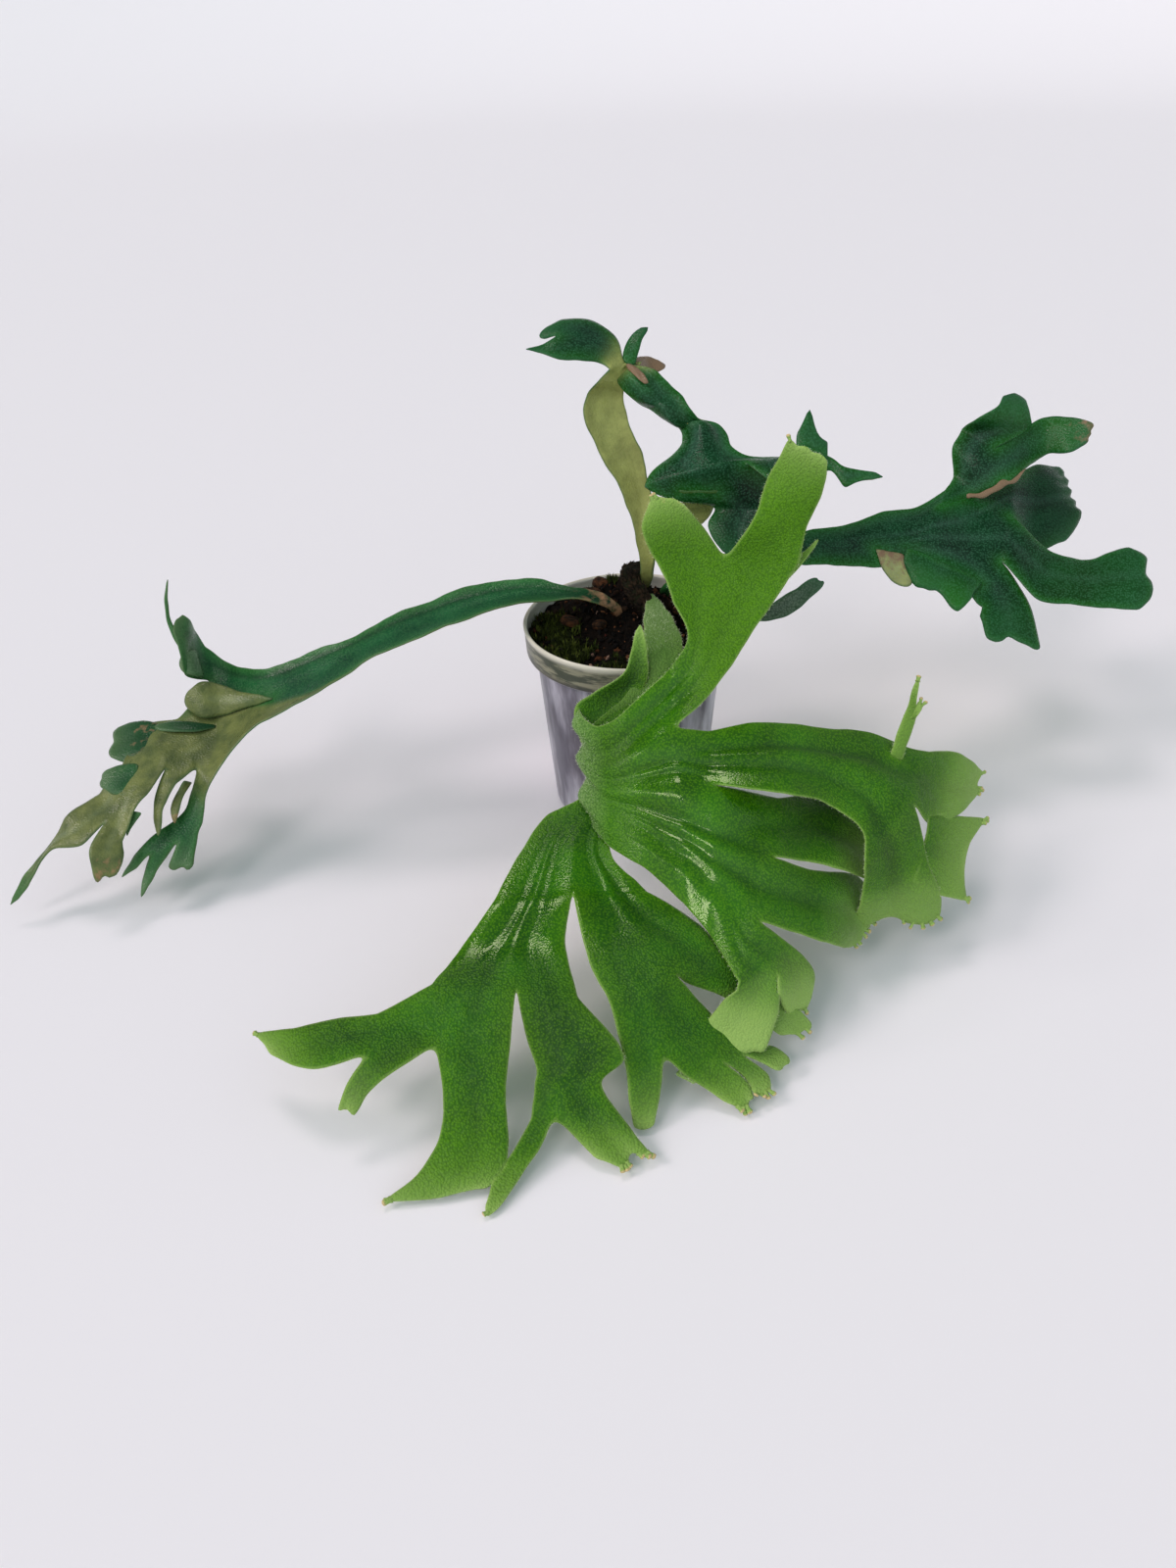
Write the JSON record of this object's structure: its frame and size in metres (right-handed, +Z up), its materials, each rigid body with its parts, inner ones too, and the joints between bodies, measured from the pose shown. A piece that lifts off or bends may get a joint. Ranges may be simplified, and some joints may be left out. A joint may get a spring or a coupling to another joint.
{
  "type": "potted crested fern",
  "caption": "Crested polypodium fern with forked, ruffled leathery fronds arching from a knobbly rhizome in a small cloudy plastic pot.",
  "frame": {"origin": "centre of the pot's flat underside", "axes": "+Z up along the pot's axis; the large young frond hangs towards -Y; the long left frond reaches towards -X"},
  "size_m": [0.4798, 0.3278, 0.1954],
  "materials": {
    "pot": "cloudy translucent, moulded",
    "soil": "damp, coarse, dark potting mix with moss",
    "rhizome": "scaly, matt",
    "bark": "rough, matt",
    "young_leaf": "velvety fresh green leaf",
    "old_leaf": "leathery dark green leaf, paler below"
  },
  "bodies": {
    "root": {"pot": "pot", "soil": "soil", "rhizome": "rhizome", "bark_chunk_1": "bark", "bark_chunk_2": "bark", "bark_chunk_3": "bark", "bark_chunk_4": "bark", "bark_chunk_5": "bark", "front_frond": "young_leaf", "left_frond": "old_leaf", "back_frond": "old_leaf", "right_frond": "old_leaf", "small_frond": "old_leaf"}
  },
  "joints": []
}
